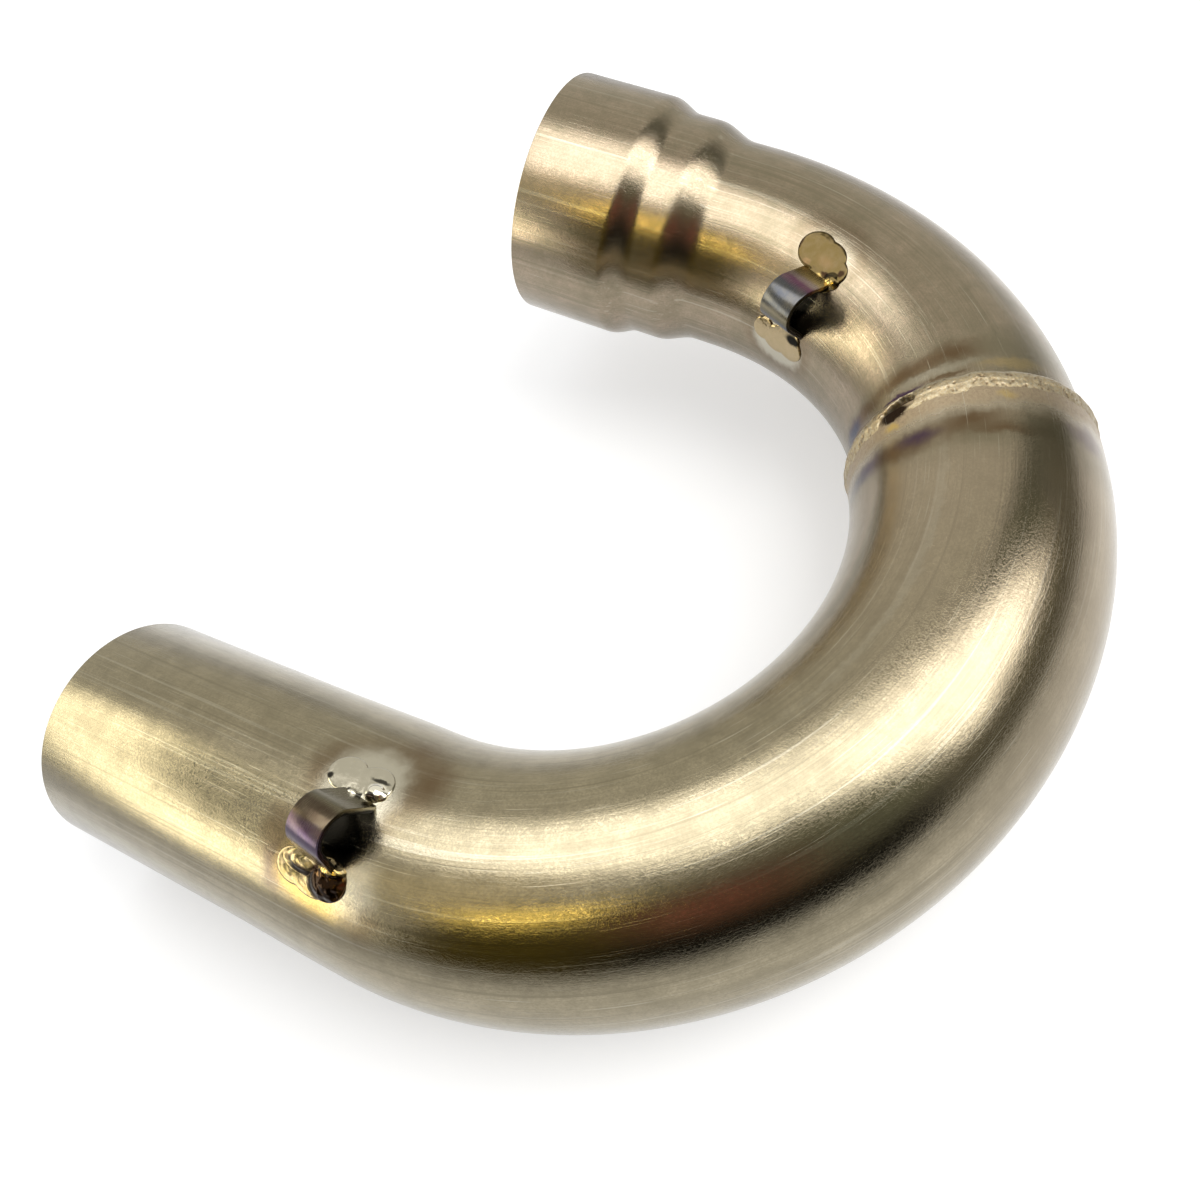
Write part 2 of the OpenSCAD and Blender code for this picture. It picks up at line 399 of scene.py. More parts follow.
def finish_with(piece, kind, **settings):
    """Adds a modifier and applies it."""
    modifier = piece.modifiers.new(kind.title(), kind)
    for name, value in settings.items():
        setattr(modifier, name, value)
    bpy.context.view_layer.objects.active = piece
    bpy.ops.object.modifier_apply(modifier=modifier.name)


def round_edges(piece, width, degrees):
    """Rounds the edges that are sharper than an angle."""
    finish_with(
        piece, "BEVEL", width=width, segments=3, limit_method="ANGLE", angle_limit=math.radians(degrees)
    )


def pick(piece):
    """Selects one piece alone and makes it the active one."""
    bpy.ops.object.select_all(action="DESELECT")
    piece.select_set(True)
    bpy.context.view_layer.objects.active = piece


def put(piece, place):
    """Moves a piece modelled in a local frame to its place."""
    pick(piece)
    piece.matrix_world = place
    bpy.ops.object.transform_apply(location=True, rotation=True, scale=True)


def smooth(piece, degrees):
    """Shades smooth, apart from edges sharper than an angle."""
    pick(piece)
    bpy.ops.object.shade_smooth_by_angle(angle=math.radians(degrees))


def hand_over(piece, node, material):
    """Gives a piece its material, hides the imported part that it stands for and hangs it on the body."""
    piece.data.materials.clear()
    piece.data.materials.append(material)
    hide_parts(node)
    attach(piece, BODY)


def flare(r1, r2, length_, steps=14):
    """Steps and radii of a flare that swells smoothly."""
    shares = [(1 - math.cos(math.pi * i / steps)) / 2 for i in range(1, steps + 1)]
    return [(length_ / steps, r1 + (r2 - r1) * part) for part in shares]


def extend(stations, radius, centre, heading):
    """Extrudes the selected ring along a heading, through steps with a radius each."""
    for step, new_radius in stations:
        move = heading * step
        centre = centre + move
        pull(move)
        if new_radius != radius:
            swell(new_radius / radius, centre)
            radius = new_radius


def bent_tube(name, line, start, first_r, before, after, bend_steps, tubes):
    """A tube with a bend: a ring is extruded, spun round the bend and extruded on."""
    piece = add(
        bpy.ops.mesh.primitive_circle_add, name, vertices=RING_VERTICES, radius=first_r,
        location=(0, start, 0), rotation=(math.pi / 2, 0, 0),
    )
    ends = Vector((-math.sin(line.turn), math.cos(line.turn), 0))
    bend_end = Vector((-line.radius, line.straight, 0)) + line.radius * Vector((ends.y, -ends.x, 0))
    with edit_mode():
        extend(before, first_r, Vector((0, start, 0)), Vector((0, 1, 0)))
        bpy.ops.mesh.spin(
            steps=bend_steps, angle=-line.turn, center=(-line.radius, line.straight, 0), axis=(0, 0, 1)
        )
        extend(after, before[-1][1], bend_end, ends)
        clean_up()
    finish_with(piece, "SOLIDIFY", thickness=tubes.wall, offset=-1, use_even_offset=True)
    round_edges(piece, tubes.rim_round, 60)
    put(piece, line.place)
    points = points_of(piece)
    straight = unbend(line, points)
    store(piece, COORDS, straight)
    outer = unbend(line, points + normals_of(piece) * tubes.wall / 2)
    store(piece, "bore", (np.hypot(*outer.T[1:]) < np.hypot(*straight.T[1:])).astype(float))
    smooth(piece, 40)
    return piece


class NodeTree:
    """Short calls to build a node tree."""

    def __init__(self, tree):
        self.tree = tree

    def add(self, kind, inputs=None, **settings):
        """Adds a node, sets its properties and fills its sockets with values or links."""
        node = self.tree.nodes.new(kind)
        for name, value in settings.items():
            setattr(node, name, value)
        for key, value in (inputs or {}).items():
            self.fill(node.inputs[key], value)
        return node

    def fill(self, socket, value):
        """Links an output socket, or sets a value."""
        if isinstance(value, bpy.types.NodeSocket):
            self.tree.links.new(value, socket)
        elif socket.type == "RGBA":
            socket.default_value = (*tuple(value)[:3], 1)
        elif hasattr(value, "__len__"):
            socket.default_value = tuple(value)
        else:
            socket.default_value = value

    def maths(self, operation, *values):
        """A math node's output."""
        node = self.add("ShaderNodeMath", operation=operation)
        for socket, value in zip(node.inputs, values):
            self.fill(socket, value)
        return node.outputs[0]

    def times(self, first, second):
        """The product of two values."""
        return self.maths("MULTIPLY", first, second)

    def plus(self, first, second):
        """The sum of two values."""
        return self.maths("ADD", first, second)

    def split(self, vector):
        """A vector's three parts."""
        return self.add("ShaderNodeSeparateXYZ", {"Vector": vector}).outputs

    def attribute(self, name, output="Vector"):
        """A point attribute's output."""
        return self.add("ShaderNodeAttribute", attribute_name=name).outputs[output]

    def bands(self, value, bands):
        """A colour that runs through bands of places and colours."""
        node = self.add("ShaderNodeValToRGB", {"Fac": value})
        ramp = node.color_ramp
        ramp.interpolation = "EASE"
        while len(ramp.elements) < len(bands):
            ramp.elements.new(0.5)
        for element, (place, tint) in zip(ramp.elements, bands):
            element.position = place
            element.color = (*tint, 1)
        return node.outputs[0]

    def dress(self, shader, metal, rough):
        """Gives the shader its colour and roughness."""
        self.fill(shader.inputs["Base Color"], metal)
        self.fill(shader.inputs["Roughness"], rough)

    def bump(self, shader, height, amount, distance):
        """Lays a fine relief on the shader."""
        node = self.add("ShaderNodeBump", {"Height": height, "Strength": amount, "Distance": distance})
        self.fill(shader.inputs["Normal"], node.outputs[0])

    def vector(self, operation, *values):
        """A vector math node's output."""
        node = self.add("ShaderNodeVectorMath", operation=operation)
        for socket, value in zip(node.inputs, values):
            self.fill(socket, value)
        return node.outputs["Value" if operation in ("LENGTH", "DISTANCE") else "Vector"]

    def blend(self, factor, first, second):
        """A colour mix's output."""
        node = self.add("ShaderNodeMix", data_type="RGBA", clamp_factor=True)
        self.fill(node.inputs["Factor"], factor)
        self.fill(node.inputs[6], first)
        self.fill(node.inputs[7], second)
        return node.outputs[2]

    def lay(self, base, tint, mask, amount):
        """A colour with a tint over it, by a mask and an amount."""
        return self.blend(self.times(mask, amount), base, tint)

    def ramp(self, value, low, high, to_low=0.0, to_high=1.0, kind="SMOOTHSTEP"):
        """A value mapped smoothly from one range to another."""
        node = self.add("ShaderNodeMapRange", interpolation_type=kind, clamp=True)
        for socket, number in zip(node.inputs, (value, low, high, to_low, to_high)):
            self.fill(socket, number)
        return node.outputs[0]

    def noise(self, vector, scale, detail=2.0, roughness=0.5):
        """A noise texture's value."""
        values = {"Vector": vector, "Scale": scale, "Detail": detail, "Roughness": roughness}
        return self.add("ShaderNodeTexNoise", values).outputs[0]

    def group(self, group, **inputs):
        """Places a node group. Underscores in the names stand for spaces."""
        node = self.add("ShaderNodeGroup", node_tree=group)
        for name, value in inputs.items():
            self.fill(node.inputs[name.replace("_", " ")], value)
        return node


def new_group(name, inputs, outputs):
    """Starts a node group with named sockets and returns its tree, its inputs and its output node."""
    group = bpy.data.node_groups.new(name, "ShaderNodeTree")
    for key, kind, value in inputs:
        socket = group.interface.new_socket(key, in_out="INPUT", socket_type=kind)
        if value is not None:
            socket.default_value = value
    for key, kind in outputs:
        group.interface.new_socket(key, in_out="OUTPUT", socket_type=kind)
    tree = NodeTree(group)
    return group, tree, tree.add("NodeGroupInput").outputs, tree.add("NodeGroupOutput").inputs


GRAIN_MASKS = ("Lines", "Stains", "Specks", "Scratches", "Dark draws", "Pale draws")


def drawn_grain():
    """Lines, stains and scratches that run along a drawn tube."""
    group, tree, given, result = new_group(
        "Drawn grain",
        [
            ("Coordinates", "NodeSocketVector", None),
            ("Line width", "NodeSocketFloat", 0.22 * MM),
            ("Line length", "NodeSocketFloat", 45 * MM),
            ("Stain size", "NodeSocketFloat", 5 * MM),
        ],
        [(name, "NodeSocketFloat") for name in GRAIN_MASKS],
    )
    split = tree.split(given["Coordinates"])

    def stretched(width, length_):
        along = tree.maths("DIVIDE", split[0], length_)
        out = tree.maths("DIVIDE", split[1], width)
        up = tree.maths("DIVIDE", split[2], width)
        return tree.add("ShaderNodeCombineXYZ", {"X": along, "Y": out, "Z": up}).outputs[0]

    fine = tree.noise(stretched(given["Line width"], given["Line length"]), 1, 4, 0.7)
    broad = tree.noise(stretched(tree.times(given["Line width"], 6), given["Line length"]), 1, 2, 0.5)
    lines = tree.plus(tree.times(fine, 0.7), tree.times(broad, 0.3))
    tree.fill(result["Lines"], tree.ramp(lines, 0.36, 0.64, kind="LINEAR"))
    mottle = tree.noise(given["Coordinates"], tree.maths("DIVIDE", 1.0, given["Stain size"]), 8, 0.68)
    clouds = tree.noise(stretched(given["Stain size"], tree.times(given["Stain size"], 5)), 0.4, 2, 0.5)
    stains = tree.plus(tree.times(mottle, 0.6), tree.times(clouds, 0.4))
    tree.fill(result["Stains"], tree.ramp(stains, 0.38, 0.62, kind="LINEAR"))
    specks = tree.noise(given["Coordinates"], 1 / (0.45 * MM), 4, 0.75)
    tree.fill(result["Specks"], tree.ramp(specks, 0.40, 0.62))
    draws = tree.noise(stretched(0.9 * MM, 110 * MM), 1, 3, 0.6)
    tree.fill(result["Dark draws"], tree.ramp(draws, 0.57, 0.68))
    tree.fill(result["Pale draws"], tree.ramp(draws, 0.40, 0.33))
    thin = tree.noise(stretched(0.16 * MM, 14 * MM), 1, 1, 0.4)
    tree.fill(result["Scratches"], tree.ramp(thin, 0.70, 0.76))
    return group


def tint_spot():
    """Mask of a round or long spot with a ragged edge."""
    group, tree, given, result = new_group(
        "Tint spot",
        [
            ("Coordinates", "NodeSocketVector", None),
            ("Centre", "NodeSocketVector", (0, 0, 0)),
            ("Size", "NodeSocketVector", (MM, MM, MM)),
            ("Softness", "NodeSocketFloat", 0.7),
        ],
        [("Mask", "NodeSocketFloat")],
    )
    offset = tree.vector("SUBTRACT", given["Coordinates"], given["Centre"])
    distance = tree.vector("LENGTH", tree.vector("DIVIDE", offset, given["Size"]))
    tree.fill(result["Mask"], tree.ramp(distance, 1.0, tree.maths("SUBTRACT", 1.0, given["Softness"])))
    return group


def ragged(tree, coords, amount, size):
    """Coordinates with an uneven shift, so that edges drawn with them look ragged."""
    values = {"Vector": coords, "Scale": 1 / size, "Detail": 3.0, "Roughness": 0.6}
    node = tree.add("ShaderNodeTexNoise", values)
    shift = tree.vector("SUBTRACT", node.outputs["Color"], (0.5, 0.5, 0.5))
    return tree.vector("ADD", coords, tree.vector("MULTIPLY", shift, (amount * 2,) * 3))


class Spot(NamedTuple):
    """A tint on a tube, some of them painted shade, highlights and reflections: millimetres along, degrees
    around, half sizes, colour and strength.
    """

    s: float
    phi: float
    along: float
    across: float
    tint: str
    strength: float
    softness: float = 0.8


# Tints beside the girth weld on the main tube, from the inside of the bend to the outside, with a painted
# dark reflection along the bend and painted shade at the long hollow
MAIN_TINTS = [
    Spot(232.0, 0, 95, 300, "warm", 0.5, 1.0),
    Spot(223.0, 0, 8.0, 200, "worn", 0.55, 1.0),
    # Painted reflection: a dark line reflected along the inside of the bend
    Spot(195.0, -44, 42, 2.6, "worn", 0.8),
    Spot(190.0, -14, 60, 1.4, "pale", 0.2),
    Spot(224.6, -10, 4.6, 22, "brown", 0.62, 1.0),
    Spot(224.4, -62, 4.2, 8.5, "blue", 0.6, 1.0),
    Spot(225.0, -52, 4.2, 7.0, "purple", 0.65, 1.0),
    Spot(223.8, -39, 4.2, 6.6, "brown", 0.9, 1.0),
    Spot(224.6, -26, 3.2, 6.4, "purple", 0.9, 1.0),
    Spot(222.0, -30, 3.4, 6.0, "brown", 0.5),
    Spot(225.8, -2, 4.0, 7.0, "brown", 0.85, 1.0),
    Spot(222.4, 4, 3.6, 8.0, "worn", 0.6),
    Spot(223.6, 13, 2.0, 11.0, "brown", 0.85, 1.0),
    Spot(224.6, 30, 3.6, 9.0, "worn", 0.7),
    Spot(226.0, 52, 3.4, 8.0, "purple", 0.45),
    Spot(228.6, 0, 2.2, 200, "pale", 0.25, 1.0),
    Spot(230.8, -37, 1.4, 2.4, "straw", 0.95),
    Spot(231.0, 14, 1.3, 2.6, "straw", 0.6),
    # Painted shade: char colour darkens the main tube in the long hollow under the bead
    Spot(233.7, -34.5, 2.0, 4.0, "char", 1.0, 0.4),
]
# Tints beside the girth weld on the socket tube
SOCKET_TINTS = [
    Spot(9.5, -10, 6.5, 200, "worn", 0.75, 1.0),
    Spot(8.8, -82, 4.6, 8.0, "purple", 0.8, 1.0),
    Spot(8.2, -84, 3.4, 5.6, "blue", 0.95, 1.0),
    Spot(8.8, -68, 4.2, 6.0, "brown", 0.9, 1.0),
    Spot(5.0, -80, 2.0, 6.0, "brown", 0.6),
    Spot(4.5, -48, 1.3, 6.5, "purple", 0.95, 0.6),
    Spot(4.6, -24, 1.0, 5.0, "brown", 0.75, 0.6),
    Spot(9.8, -44, 4.0, 12.0, "brown", 0.95, 1.0),
    Spot(10.4, -18, 4.0, 11.0, "brown", 0.9, 1.0),
    Spot(10.5, 4, 3.0, 8.0, "worn", 0.7),
    Spot(5.6, 8, 2.0, 9.0, "straw", 0.35),
    Spot(6.8, -30, 1.8, 12.0, "pale", 0.35),
]
# Clean halos and brown rings around the feet of the plain end's hook, on the main tube, with a painted
# highlight beside the outer foot and painted shade under the loop
PLAIN_HALO = [
    Spot(74.5, -12, 16.0, 14.0, "brown", 0.6, 0.7),
    Spot(86.5, -20, 7.5, 9.0, "brown", 0.8, 1.0),
    Spot(80.0, -34, 9.0, 7.0, "brown", 0.6, 1.0),
    Spot(65.0, -12, 5.0, 7.0, "brown", 0.35),
    Spot(74.3, -10, 10.6, 10.0, "pale", 1.0, 0.5),
    Spot(62.5, 22, 5.4, 8.0, "brown", 0.55),
    Spot(64.0, 38, 4.4, 6.0, "purple", 0.45),
    Spot(82.0, 43, 5.0, 6.0, "brown", 0.45),
    Spot(72.4, 33, 12.5, 9.6, "brown", 0.55, 0.6),
    Spot(73.0, 33, 10.5, 8.0, "straw", 0.8, 0.5),
    # Painted highlight: a bright cream patch beside the outer foot
    Spot(79.6, 29, 7.0, 8.0, "glint", 0.65, 1.0),
    # Painted shade: the tube under the loop is darkened as if shaded
    Spot(74.8, 11, 5.8, 5.6, "soot", 1.0, 0.35),
]
# Clean halos and brown rings around the feet of the socket's hook, measured from the lip, with painted
# shade under the loop
SOCKET_HALO = [
    Spot(54.0, -88, 16.0, 10.0, "brown", 0.45, 0.4),
    Spot(54.0, -90, 12.0, 6.8, "pale", 0.9, 0.4),
    Spot(53.0, -30, 14.0, 9.5, "brown", 0.40, 0.5),
    Spot(53.0, -34, 10.6, 6.8, "pale", 0.45, 0.6),
    Spot(44.0, -62, 7.0, 7.0, "worn", 0.6),
    Spot(66.0, -80, 4.0, 6.0, "worn", 0.5),
    # Painted shade: the tube under the loop is darkened as if shaded, in three spots
    Spot(53.2, -61, 5.2, 5.6, "soot", 1.0, 0.35),
    Spot(52.8, -73, 4.2, 5.6, "soot", 1.0, 0.4),
    Spot(50.6, -56, 3.6, 5.0, "soot", 1.0, 0.4),
]


class Puddle(NamedTuple):
    """A blob of weld: millimetres along and around, half sizes, height and roughness of its skin."""

    s: float
    arc: float
    along: float
    across: float
    height: float
    rough: float = 0.0


def lay_tints(tree, finish, groups, coords, tints, metal, centre_of):
    """Lays spots or stains over the metal's colour and returns it."""
    for tint in tints:
        size = (tint.along * MM, tint.across * MM, tint.across * MM)
        mask = tree.group(
            groups["spot"], Coordinates=coords, Centre=centre_of(tint), Size=size, Softness=tint.softness
        ).outputs["Mask"]
        metal = tree.lay(metal, getattr(finish, tint.tint), mask, tint.strength)
    return metal


def new_material(name):
    """A material with a metallic shader, and its tree."""
    material = bpy.data.materials.new(name)
    material.use_nodes = True
    tree = NodeTree(material.node_tree)
    shader = material.node_tree.nodes["Principled BSDF"]
    shader.inputs["Metallic"].default_value = 1.0
    return material, tree, shader


def tube_material(name, finish, groups, base, spots, radius, bead_at, gloss):
    """Drawn tube with tints beside the girth weld and around the hooks' feet, and painted shade, highlights
    and reflections among them.
    """
    material, tree, shader = new_material(name)
    coords = tree.attribute(COORDS)
    inner = tree.attribute("bore", "Fac")
    grain = tree.group(groups["grain"], Coordinates=coords).outputs
    wear = tree.plus(tree.times(grain["Lines"], 0.35), tree.times(grain["Stains"], 0.65))
    metal = tree.blend(wear, finish.worn, base)
    metal = tree.lay(metal, finish.worn, grain["Specks"], 0.45)
    metal = tree.lay(metal, finish.worn, grain["Dark draws"], 0.65)
    metal = tree.lay(metal, finish.pale, grain["Pale draws"], 0.30)
    uneven = ragged(tree, coords, 1.6 * MM, 3.0 * MM)
    split = tree.split(uneven)
    off = tree.maths("ABSOLUTE", tree.maths("SUBTRACT", split[0], bead_at * MM))
    sandy = tree.ramp(off, 6.4 * MM, 1.6 * MM)
    sand_grain = tree.ramp(tree.noise(coords, 1 / (0.6 * MM), 4, 0.7), 0.40, 0.68)
    sand = tree.lay(finish.sand, finish.brown, sand_grain, 0.7)
    metal = tree.lay(metal, sand, sandy, 0.85)

    def centre_of(spot):
        phi = math.radians(spot.phi)
        return spot.s * MM, radius * math.sin(phi), radius * math.cos(phi)

    metal = lay_tints(tree, finish, groups, uneven, spots, metal, centre_of)
    metal = tree.lay(metal, finish.pale, grain["Scratches"], 0.5)
    metal = tree.blend(inner, metal, finish.bore)
    rough = tree.ramp(wear, 0, 1, gloss + 0.05, gloss - 0.04, kind="LINEAR")
    rough = tree.plus(rough, tree.times(sandy, 0.26))
    rough = tree.plus(rough, tree.times(inner, 0.2))
    tree.dress(shader, metal, rough)
    height = tree.plus(grain["Lines"], tree.times(grain["Specks"], 1.8))
    draws = tree.maths("SUBTRACT", grain["Pale draws"], grain["Dark draws"])
    height = tree.plus(height, tree.times(draws, 0.9))
    height = tree.plus(height, tree.times(grain["Scratches"], -1.0))
    height = tree.plus(height, tree.times(tree.times(sandy, sand_grain), 4.0))
    tree.bump(shader, height, 0.6, 0.006 * MM)
    return material


def strip_material(finish, groups):
    """Satin strip with heat bands that cross it, in the order of the loop's own length, and painted shade
    on its inner face.
    """
    material, tree, shader = new_material("Tinted strip")
    coords = tree.attribute("strip_coords")
    grain = tree.group(groups["grain"], Coordinates=coords, Line_width=0.12 * MM, Line_length=4 * MM,
                       Stain_size=1.6 * MM).outputs
    uneven = ragged(tree, coords, 0.5 * MM, 1.5 * MM)
    split = tree.split(uneven)
    place = tree.ramp(split[0], -STRIP_REACH, STRIP_REACH, kind="LINEAR")
    plain_bands = tree.bands(place, [
        (0.10, finish.dusk), (0.28, finish.dusk), (0.36, finish.umber), (0.48, finish.umber),
        (0.54, finish.purple), (0.64, finish.violet), (0.76, finish.purple), (0.92, finish.brown),
    ])
    socket_bands = tree.bands(place, [
        (0.05, finish.blue), (0.30, finish.steel), (0.36, finish.dusk), (0.40, finish.worn),
        (0.46, finish.steel), (0.68, finish.steel), (0.80, finish.magenta), (0.88, finish.lilac),
        (0.97, finish.straw),
    ])
    at_socket = tree.attribute("at_socket", "Fac")
    metal = tree.blend(at_socket, plain_bands, socket_bands)
    metal = tree.lay(metal, finish.worn, grain["Stains"], 0.25)
    # Painted shade: the strip's inner face, inside the loop, turns near-black and duller
    inner_face_shade = tree.ramp(split[2], 0.3 * MM, 0.7 * MM, 1.0, 0.0)
    metal = tree.blend(inner_face_shade, metal, finish.soot)
    rough = tree.ramp(grain["Lines"], 0, 1, 0.3, 0.2, kind="LINEAR")
    tree.dress(shader, metal, tree.plus(rough, tree.times(inner_face_shade, 0.3)))
    tree.bump(shader, grain["Lines"], 0.5, 0.004 * MM)
    return material


def bead_material(finish, groups):
    """Matt sandy bead with dark pits, brown patches, a bright ridge and painted shade in the long hollow.
    """
    material, tree, shader = new_material("Sandy bead")
    coords = tree.attribute(COORDS)
    marks = tree.attribute("bead_marks")
    pit, shaded_hollow, ridge = tree.split(marks)
    grains = tree.ramp(tree.noise(coords, 1 / (0.45 * MM), 4, 0.7), 0.35, 0.7)
    patches = tree.ramp(tree.noise(coords, 1 / (1.6 * MM), 4, 0.65), 0.44, 0.62)
    metal = tree.lay(finish.sand, finish.pale, grains, 0.6)
    metal = tree.lay(metal, finish.brown, patches, 0.32)
    metal = tree.lay(metal, finish.pale, ridge, 0.6)
    metal = tree.lay(metal, finish.brown, pit, 0.85)
    # Painted shade: char colour fills the long hollow
    metal = tree.blend(shaded_hollow, metal, finish.char)
    tree.dress(shader, metal, tree.ramp(grains, 0, 1, 0.52, 0.36))
    tree.bump(shader, grains, 0.5, 0.03 * MM)
    return material


class Stain(NamedTuple):
    """A stain on a puddle, some of them painted highlights and painted shade: millimetres along and around,
    half sizes, colour and strength.
    """

    s: float
    arc: float
    along: float
    across: float
    tint: str
    strength: float
    softness: float = 0.5


# Stains, painted highlights and painted shade on the puddles of weld: the first rows are the plain end's,
# the last the socket's
PUDDLE_STAINS = [
    Stain(73.0, -5.0, 9.5, 5.5, "pale", 0.95, 0.3),
    # Painted shade: a dark dot
    Stain(67.3, -2.9, 0.8, 0.8, "soot", 0.95),
    # Painted shade: the dark reflected edge above the lens glint
    Stain(77.2, -5.4, 2.8, 0.45, "soot", 0.9),
    # Painted highlight: the white lens glint on the glossy lump
    Stain(77.7, -3.8, 2.5, 1.4, "glint", 1.0, 0.3),
    Stain(77.4, -2.3, 1.6, 0.8, "char", 0.97),
    # Painted highlight: a bright glassy bit
    Stain(73.6, -1.3, 1.6, 0.8, "glint", 1.0, 0.4),
    # Painted shade: dark outlines beside the glassy bit
    Stain(75.0, -1.6, 0.6, 1.0, "soot", 0.95),
    Stain(72.4, -2.0, 0.5, 0.6, "soot", 0.9),
    Stain(70.6, 13.0, 3.6, 1.2, "char", 0.97),
    Stain(67.0, 12.2, 1.0, 0.7, "char", 0.8),
    Stain(75.9, 13.2, 4.2, 4.1, "char", 1.0, 0.25),
    Stain(76.0, 10.9, 3.0, 0.7, "straw", 1.0),
    Stain(79.0, 13.2, 0.8, 2.4, "amber", 0.95),
    Stain(74.8, 12.1, 1.1, 0.45, "amber", 0.8),
    Stain(289.0, -34.0, 13.0, 5.0, "sand", 0.8, 0.3),
    # Painted shade: dark cavities in the socket's inner puddle
    Stain(283.2, -31.8, 3.8, 1.4, "soot", 1.0),
    Stain(296.8, -30.6, 1.4, 1.0, "soot", 0.95),
    # Partly painted shade: dull gold darkened for the dimmer light on the socket's outer puddle
    Stain(287.0, -14.4, 12.0, 7.0, "gold", 0.9, 0.3),
    Stain(286.4, -14.6, 4.0, 1.8, "brown", 0.35, 0.9),
    Stain(282.8, -17.4, 4.6, 0.9, "straw", 1.0),
    Stain(280.8, -14.7, 1.2, 1.0, "char", 0.95),
    Stain(284.2, -16.8, 2.0, 0.9, "char", 0.95),
    Stain(291.0, -16.4, 1.6, 0.8, "brown", 0.6),
    Stain(295.3, -14.2, 0.6, 2.6, "char", 0.8),
]


def puddle_material(finish, groups):
    """Glossy weld, from pale to gold, with charred lumps, painted highlights and painted shade."""
    material, tree, shader = new_material("Puddled weld")
    coords = tree.attribute("weld_coords")
    uneven = ragged(tree, coords, 0.45 * MM, 1.2 * MM)
    patches = tree.ramp(tree.noise(coords, 1 / (1.5 * MM), 4, 0.6), 0.38, 0.66)
    metal = tree.blend(patches, finish.olive, finish.sand)
    flat = tree.vector("MULTIPLY", uneven, (1, 1, 0))
    metal = lay_tints(
        tree, finish, groups, flat, PUDDLE_STAINS, metal, lambda stain: (stain.s * MM, stain.arc * MM, 0)
    )
    tree.dress(shader, metal, tree.ramp(patches, 0, 1, 0.13, 0.24))
    return material


class PIPE_OT_tubes(bpy.types.Operator):
    """Model the main tube and the swaged socket tube"""

    bl_idname = "pipe.tubes"
    bl_label = "Tubes"

    def execute(self, context):
        """Extrudes and spins both tubes."""
        tubes, finish = context.scene.pipe_tubes, context.scene.pipe_finish
        groups = shared_groups()
        neck_r = neck_radius(tubes)
        lip = main_length(tubes) / MM
        main_metal = tube_material(
            "Drawn main tube", finish, groups, finish.metal, PLAIN_HALO + MAIN_TINTS, tubes.main_r,
            lip - SAND_BACK, finish.gloss,
        )
        socket_metal = tube_material(
            "Drawn socket tube", finish, groups, finish.warm, SOCKET_HALO + SOCKET_TINTS, neck_r,
            NO_SAND, finish.socket_gloss,
        )
        main = bent_tube(
            "main_tube_shell", main_line(tubes), 0.0, tubes.sized_r,
            [(tubes.sized_len, tubes.sized_r)]
            + flare(tubes.sized_r, tubes.main_r, tubes.sizing_taper, 12)
            + [(tubes.plain_len - tubes.sized_len - tubes.sizing_taper, tubes.main_r)],
            [(tubes.stub_len / STUB_STEPS, tubes.main_r)] * STUB_STEPS, MAIN_BEND_STEPS, tubes,
        )
        socket_r = tubes.socket_bore_r + tubes.wall
        socket = bent_tube(
            "socket_tube_shell", socket_line(tubes), -tubes.lap_len, neck_r,
            [(tubes.lap_len + tubes.lead_len, neck_r)],
            [(tubes.neck_len, neck_r)] + flare(neck_r, tubes.step_r, tubes.step_flare_len)
            + [(tubes.step_len, tubes.step_r)] + flare(tubes.step_r, socket_r, tubes.socket_flare_len)
            + [(tubes.socket_len, socket_r)],
            SOCKET_BEND_STEPS, tubes,
        )
        hand_over(main, "main_tube", main_metal)
        hand_over(socket, "socket_tube", socket_metal)
        return {"FINISHED"}


def shared_groups():
    """The node groups that several materials use, built once."""
    groups = bpy.data.node_groups
    if "Drawn grain" not in groups:
        drawn_grain()
        tint_spot()
    return {"grain": groups["Drawn grain"], "spot": groups["Tint spot"]}


def neck_radius(tubes):
    """Outside radius of the socket tube before its flares."""
    return tubes.main_r - tubes.wall - tubes.lap_gap


def main_length(tubes):
    """Length of the main tube's centreline, up to its lip."""
    return tubes.plain_len + tubes.main_bend_r * tubes.main_bend_angle + tubes.stub_len


def socket_length(tubes):
    """Length of the socket tube's centreline, from the lip to the socket's end."""
    end = tubes.neck_len + tubes.step_flare_len + tubes.step_len + tubes.socket_flare_len + tubes.socket_len
    return tubes.lead_len + tubes.socket_bend_r * tubes.socket_bend_angle + end


def relief(points, size, octaves=1):
    """Smooth noise between -1 and 1 at points, with features of a size."""
    scaled = points / size
    return np.array([noise.fractal(Vector(point), 1.0, 2.0, octaves) for point in scaled])


